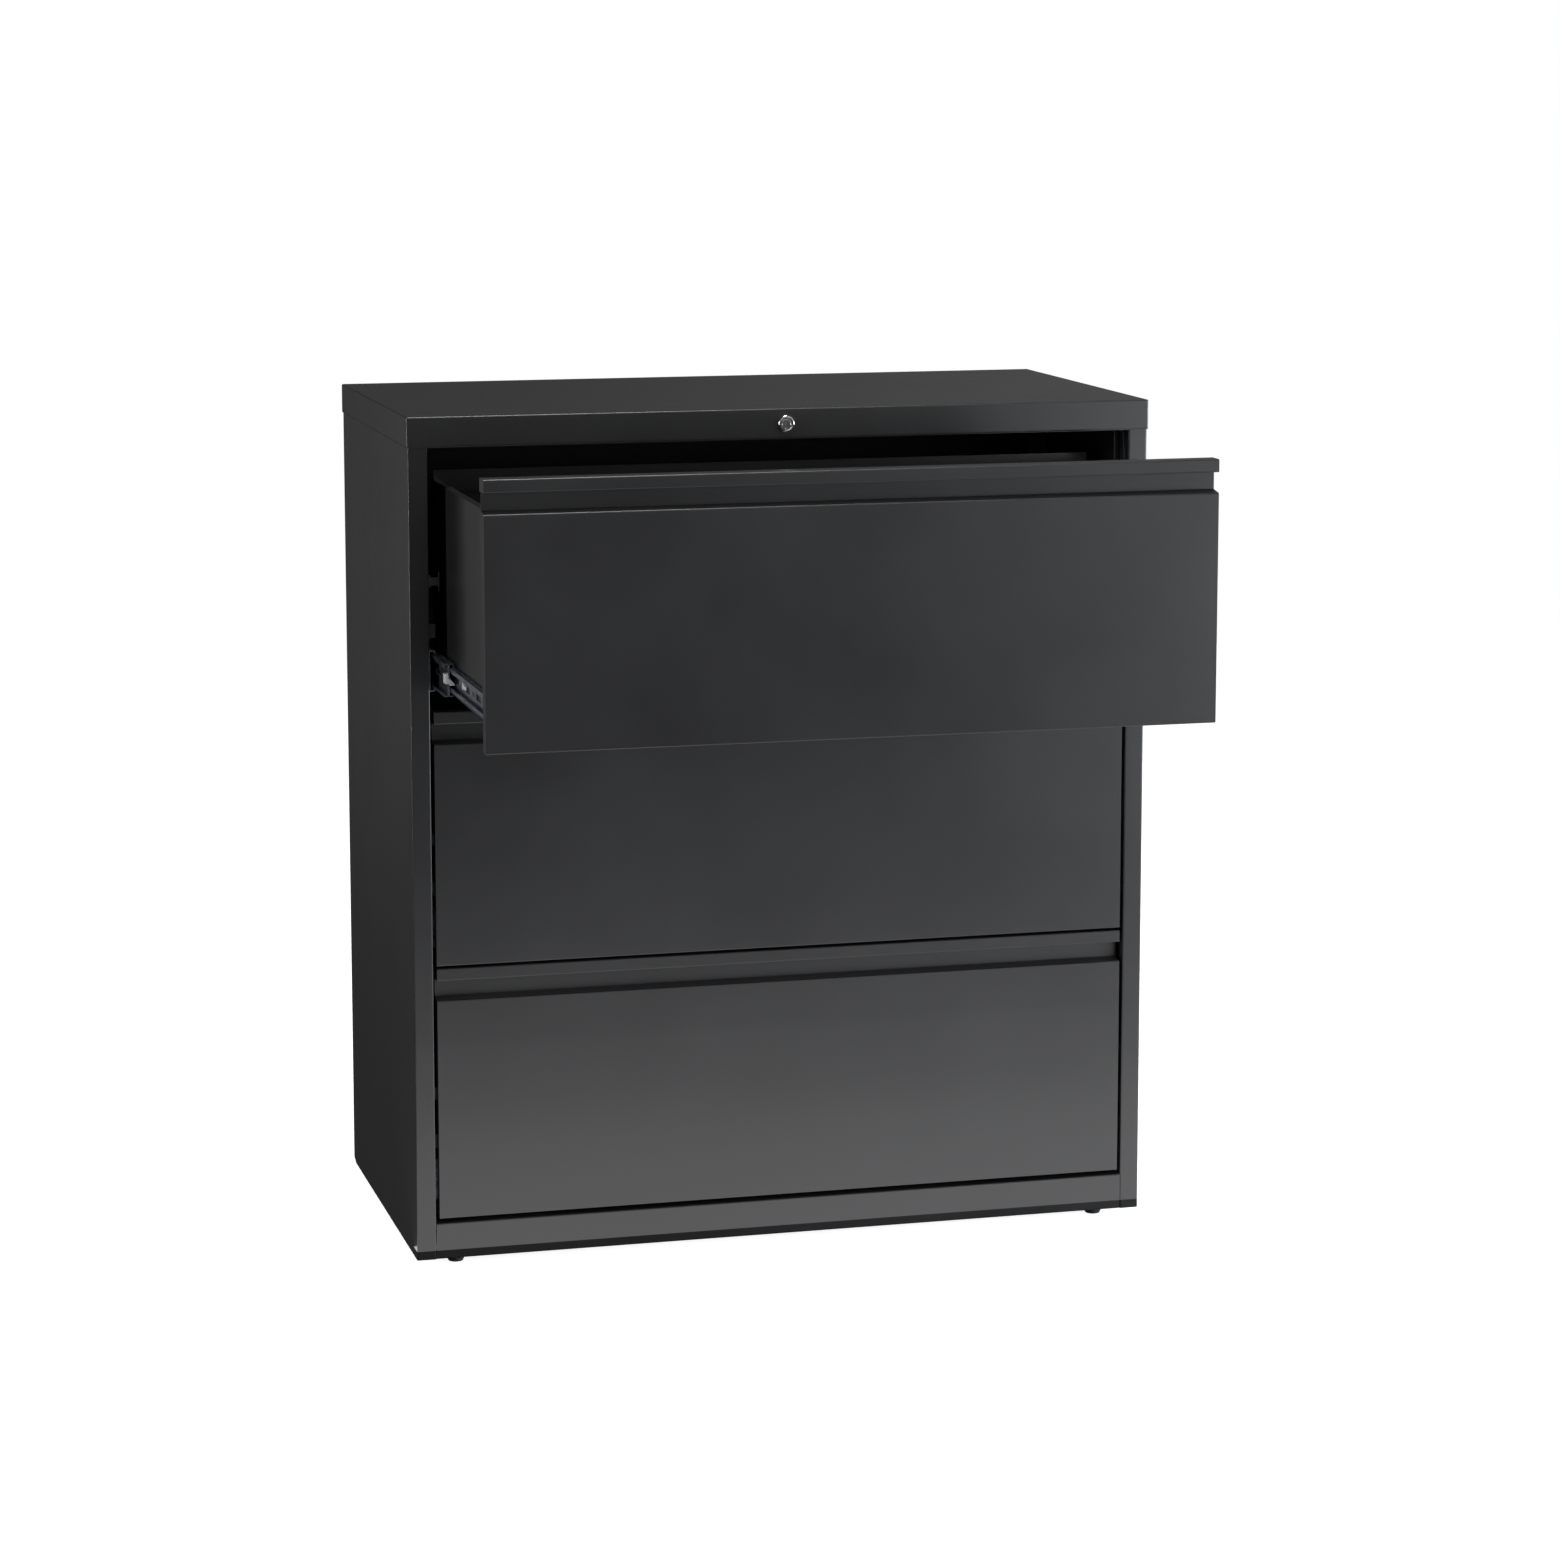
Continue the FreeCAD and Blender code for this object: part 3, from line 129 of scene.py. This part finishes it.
def span(tree, value, low, high, from_low=0.3, from_high=0.7):
    """A value carried from one range to another."""
    node = add(tree, "ShaderNodeMapRange")
    node.inputs["From Min"].default_value = from_low
    node.inputs["From Max"].default_value = from_high
    node.inputs["To Min"].default_value = low
    node.inputs["To Max"].default_value = high
    tree.links.new(value, node.inputs["Value"])
    return node.outputs["Result"]


def blend_colours(tree, value, first, second):
    """A colour between two, chosen by a value."""
    node = add(tree, "ShaderNodeMix", data_type="RGBA")
    node.inputs["A"].default_value = (*first, 1)
    node.inputs["B"].default_value = (*second, 1)
    tree.links.new(value, node.inputs["Factor"])
    return node.outputs["Result"]


def raise_bump(tree, shader, height, depth, strength=1.0, under=None):
    """Small relief on the surface, this many metres deep."""
    node = add(tree, "ShaderNodeBump", Strength=strength, Distance=depth)
    tree.links.new(height, node.inputs["Height"])
    if under is not None:
        tree.links.new(under, node.inputs["Normal"])
    tree.links.new(node.outputs["Normal"], shader.inputs["Normal"])
    return node.outputs["Normal"]


# ---------------------------------------------------------------- materials
def charcoal_paint():
    """Semi-gloss baked enamel: orange peel, faint mottling and specks."""
    material, tree, shader = new_material("charcoal_paint")
    where = place(tree)
    mottle = noise(tree, where, per_metre=7.0)
    peel = noise(tree, where, per_metre=420.0, detail=2.0)
    grit = noise(tree, where, per_metre=2600.0, detail=1.0)
    shade = span(tree, mottle, low=0, high=1)
    colour = blend_colours(tree, shade, (0.0185, 0.0185, 0.0202), (0.0215, 0.0215, 0.0235))
    tree.links.new(colour, shader.inputs["Base Color"])
    gloss = span(tree, mottle, low=0.33, high=0.40)
    tree.links.new(gloss, shader.inputs["Roughness"])
    shader.inputs["IOR"].default_value = 1.52
    shader.inputs["Coat Weight"].default_value = 0.45
    shader.inputs["Coat Roughness"].default_value = 0.2
    fine = raise_bump(tree, shader, grit, depth=0.000006, strength=0.35)
    raise_bump(tree, shader, peel, depth=0.00003, strength=0.45, under=fine)
    return material


def zinc_plated_steel():
    """Bright zinc with a blue passivation tint and drawn lines along the slides."""
    material, tree, shader = new_material("zinc_plated_steel")
    drawn = noise(tree, place(tree, stretch=(1.0, 0.02, 1.0)), per_metre=1500.0, detail=2.0)
    cloud = noise(tree, place(tree), per_metre=60.0)
    shade = span(tree, cloud, low=0, high=1)
    colour = blend_colours(tree, shade, (0.32, 0.37, 0.46), (0.50, 0.51, 0.54))
    tree.links.new(colour, shader.inputs["Base Color"])
    tree.links.new(span(tree, drawn, low=0.22, high=0.42), shader.inputs["Roughness"])
    shader.inputs["Metallic"].default_value = 1.0
    raise_bump(tree, shader, drawn, depth=0.00001, strength=0.4)
    return material


def shade_painted_zinc():
    """Zinc on the two vertical bars, matt, its colour darkened as painted shade for the shadow they stand
    in.
    """
    material, tree, shader = new_material("shade_painted_zinc")
    where = place(tree)
    cloud = noise(tree, where, per_metre=90.0, detail=5.0)
    shade = span(tree, cloud, low=0, high=1)
    # painted shade: the zinc colour is darkened for the shadow the bars stand in
    colour = blend_colours(tree, shade, (0.09, 0.10, 0.10), (0.14, 0.15, 0.14))
    tree.links.new(colour, shader.inputs["Base Color"])
    tree.links.new(span(tree, cloud, low=0.48, high=0.62), shader.inputs["Roughness"])
    shader.inputs["Metallic"].default_value = 0.9
    raise_bump(tree, shader, noise(tree, where, per_metre=1400.0), depth=0.00001, strength=0.4)
    return material


def cage_steel():
    """Plain steel strip and balls."""
    material, tree, shader = new_material("cage_steel")
    cloud = noise(tree, place(tree), per_metre=240.0)
    shade = span(tree, cloud, low=0, high=1)
    colour = blend_colours(tree, shade, (0.34, 0.34, 0.35), (0.48, 0.48, 0.48))
    tree.links.new(colour, shader.inputs["Base Color"])
    tree.links.new(span(tree, cloud, low=0.20, high=0.34), shader.inputs["Roughness"])
    shader.inputs["Metallic"].default_value = 1.0
    return material


def bare_steel():
    """Mill scale on the counterweight."""
    material, tree, shader = new_material("bare_steel")
    where = place(tree)
    scale = noise(tree, where, per_metre=35.0, detail=6.0)
    shade = span(tree, scale, low=0, high=1)
    colour = blend_colours(tree, shade, (0.045, 0.042, 0.042), (0.12, 0.105, 0.095))
    tree.links.new(colour, shader.inputs["Base Color"])
    tree.links.new(span(tree, scale, low=0.5, high=0.75), shader.inputs["Roughness"])
    shader.inputs["Metallic"].default_value = 0.6
    raise_bump(tree, shader, noise(tree, where, per_metre=500.0), depth=0.00008, strength=0.5)
    return material


def chrome():
    """Polished plate with faint buffing marks."""
    material, tree, shader = new_material("chrome")
    marks = noise(tree, place(tree), per_metre=900.0, detail=4.0)
    shade = span(tree, marks, low=0, high=1)
    colour = blend_colours(tree, shade, (0.90, 0.90, 0.91), (0.96, 0.96, 0.96))
    tree.links.new(colour, shader.inputs["Base Color"])
    tree.links.new(span(tree, marks, low=0.15, high=0.21), shader.inputs["Roughness"])
    shader.inputs["Metallic"].default_value = 1.0
    return material


def white_nylon():
    """Moulded nylon of the slide bumpers."""
    material, tree, shader = new_material("white_nylon")
    where = place(tree)
    cloud = noise(tree, where, per_metre=300.0)
    shade = span(tree, cloud, low=0, high=1)
    colour = blend_colours(tree, shade, (0.72, 0.72, 0.70), (0.80, 0.80, 0.79))
    tree.links.new(colour, shader.inputs["Base Color"])
    tree.links.new(span(tree, cloud, low=0.42, high=0.55), shader.inputs["Roughness"])
    shader.inputs["Subsurface Weight"].default_value = 0.08
    shader.inputs["Subsurface Scale"].default_value = 0.002
    raise_bump(tree, shader, noise(tree, where, per_metre=1800.0), depth=0.00001, strength=0.4)
    return material


def black_plastic():
    """Moulded glide pads, finely textured."""
    material, tree, shader = new_material("black_plastic")
    where = place(tree)
    grain = noise(tree, where, per_metre=1500.0, detail=2.0)
    shade = span(tree, grain, low=0, high=1)
    colour = blend_colours(tree, shade, (0.050, 0.050, 0.053), (0.075, 0.075, 0.078))
    tree.links.new(colour, shader.inputs["Base Color"])
    tree.links.new(span(tree, grain, low=0.45, high=0.6), shader.inputs["Roughness"])
    raise_bump(tree, shader, grain, depth=0.00004, strength=0.5)
    return material


def dress_nodes():
    """Give every CAD node the material of its slot, and the vertical bars a zinc darkened with painted
    shade.
    """
    makers = (charcoal_paint, zinc_plated_steel, cage_steel, bare_steel, chrome, white_nylon, black_plastic)
    finishes = {maker.__name__: maker() for maker in makers}
    shade_painted_finish = shade_painted_zinc()
    for entry in frame["record"]["subparts"]:
        piece = frame["nodes"][entry["node"]]
        if not piece.material_slots:
            piece.data.materials.append(None)
        finish = finishes[entry["material_slot"]]
        # the vertical bars take the zinc darkened with painted shade
        if entry["node"] in SHADE_PAINTED_NODES:
            finish = shade_painted_finish
        for slot in piece.material_slots:
            slot.material = finish
    return finishes


# ---------------------------------------------------------------- slide latches
def slide_latch(body, side):
    """Nylon release lever on the web of a drawer's slide member; side is -1 left and 1 right."""
    low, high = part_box(body + "_drawer_members")
    face = max(abs(low.x), abs(high.x)) - LATCH_FROM_EDGE
    centre_y = low.y + LATCH_ALONG
    centre_z = (low.z + high.z) / 2
    rings = ((0.0, 1.0), (LATCH_RISE - LATCH_EDGE, 1.0), (LATCH_RISE, LATCH_TOP_SHARE))
    vertices = []
    for rise, share in rings:
        for along, up in LATCH_OUTLINE:
            y = centre_y + along * share * MM
            z = centre_z + up * share * MM
            vertices.append((side * (face + rise), y, z))
    count = len(LATCH_OUTLINE)
    faces = [tuple(range(count)), tuple(reversed(range(2 * count, 3 * count)))]
    for ring in (0, count):
        for start in range(count):
            end = (start + 1) % count
            faces.append((ring + end, ring + start, ring + count + start, ring + count + end))
    if side < 0:
        faces = [tuple(reversed(face_corners)) for face_corners in faces]
    mesh = bpy.data.meshes.new(body + "_latch")
    mesh.from_pydata(vertices, [], faces)
    mesh.validate()
    bearing = "left" if side < 0 else "right"
    latch = bpy.data.objects.new(body + "_slide_latch_" + bearing, mesh)
    bpy.context.collection.objects.link(latch)
    return latch


def slide_latches(finish):
    """The levers of all six slides, each moving with its drawer."""
    for body in ("bottom_drawer", "middle_drawer", "top_drawer"):
        for side in (-1, 1):
            latch = slide_latch(body, side)
            latch.data.materials.append(finish)
            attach(latch, body)


# ---------------------------------------------------------------- stage
def floor_and_light():
    """Pale floor, dim surround, and soft boxes above, in front, at both sides and low down."""
    bpy.ops.mesh.primitive_plane_add(size=1, location=(0, 0, 0))
    floor = bpy.context.object
    floor.name = "floor"
    floor.scale = (FLOOR_SIZE, FLOOR_SIZE, 1)
    floor.visible_glossy = False
    floor.visible_diffuse = False
    material, tree, shader = new_material("floor_white")
    shade = noise(tree, place(tree), per_metre=0.6)
    colour = blend_colours(tree, shade, (0.88, 0.88, 0.88), (0.90, 0.90, 0.90))
    tree.links.new(colour, shader.inputs["Base Color"])
    shader.inputs["Roughness"].default_value = 0.9
    shader.inputs["Specular IOR Level"].default_value = 0.1
    shader.inputs["Emission Color"].default_value = (1, 1, 1, 1)
    shader.inputs["Emission Strength"].default_value = 0.9
    floor.data.materials.append(material)
    surround()
    for light in SOFT_LIGHTS:
        soft_light(*light)


def surround():
    """World light: white to the eye; for everything else dim, and brighter to the right and behind."""
    world = bpy.data.worlds.new("surround")
    bpy.context.scene.world = world
    world.use_nodes = True
    tree = world.node_tree
    backdrop = tree.nodes["Background"]
    sweep = add(tree, "ShaderNodeTexCoord")
    parts = add(tree, "ShaderNodeSeparateXYZ")
    tree.links.new(sweep.outputs["Generated"], parts.inputs["Vector"])
    slopes = [span(tree, parts.outputs[axis], *limits) for axis, *limits in SURROUND_SLOPES]
    strength = slopes[0]
    for slope in slopes[1:]:
        total = add(tree, "ShaderNodeMath", operation="ADD")
        tree.links.new(strength, total.inputs[0])
        tree.links.new(slope, total.inputs[1])
        strength = total.outputs["Value"]
    seen = add(tree, "ShaderNodeLightPath")
    choose = add(tree, "ShaderNodeMix", data_type="FLOAT")
    tree.links.new(seen.outputs["Is Camera Ray"], choose.inputs[0])
    tree.links.new(strength, choose.inputs[2])
    choose.inputs[3].default_value = 1.0
    backdrop.inputs["Color"].default_value = (1, 1, 1, 1)
    tree.links.new(choose.outputs[0], backdrop.inputs["Strength"])


def soft_light(name, position, target, size, radiance, tint):
    """Rectangular soft box of this brightness, aimed at a point."""
    data = bpy.data.lights.new(name, "AREA")
    data.shape = "RECTANGLE"
    data.size, data.size_y = size
    data.energy = radiance * math.pi * size[0] * size[1]
    data.color = tint
    lamp = bpy.data.objects.new(name, data)
    lamp.location = position
    lamp.visible_camera = False
    aim = Vector(target) - Vector(position)
    lamp.rotation_euler = aim.to_track_quat("-Z", "Y").to_euler()
    bpy.context.collection.objects.link(lamp)
    return lamp


def camera():
    """The viewer's camera."""
    data = bpy.data.cameras.new("camera")
    data.lens = CAMERA_LENS
    data.sensor_width = SENSOR_WIDTH
    data.shift_y = CAMERA_SHIFT
    data.clip_end = VIEW_DISTANCE
    viewer = bpy.data.objects.new("camera", data)
    viewer.location = CAMERA_PLACE
    viewer.rotation_euler = (math.radians(90 - CAMERA_TILT), 0, math.radians(-CAMERA_TURN))
    bpy.context.collection.objects.link(viewer)
    bpy.context.scene.camera = viewer


finishes = dress_nodes()
slide_latches(finishes["white_nylon"])
floor_and_light()
camera()
bpy.context.scene.view_settings.view_transform = "Standard"
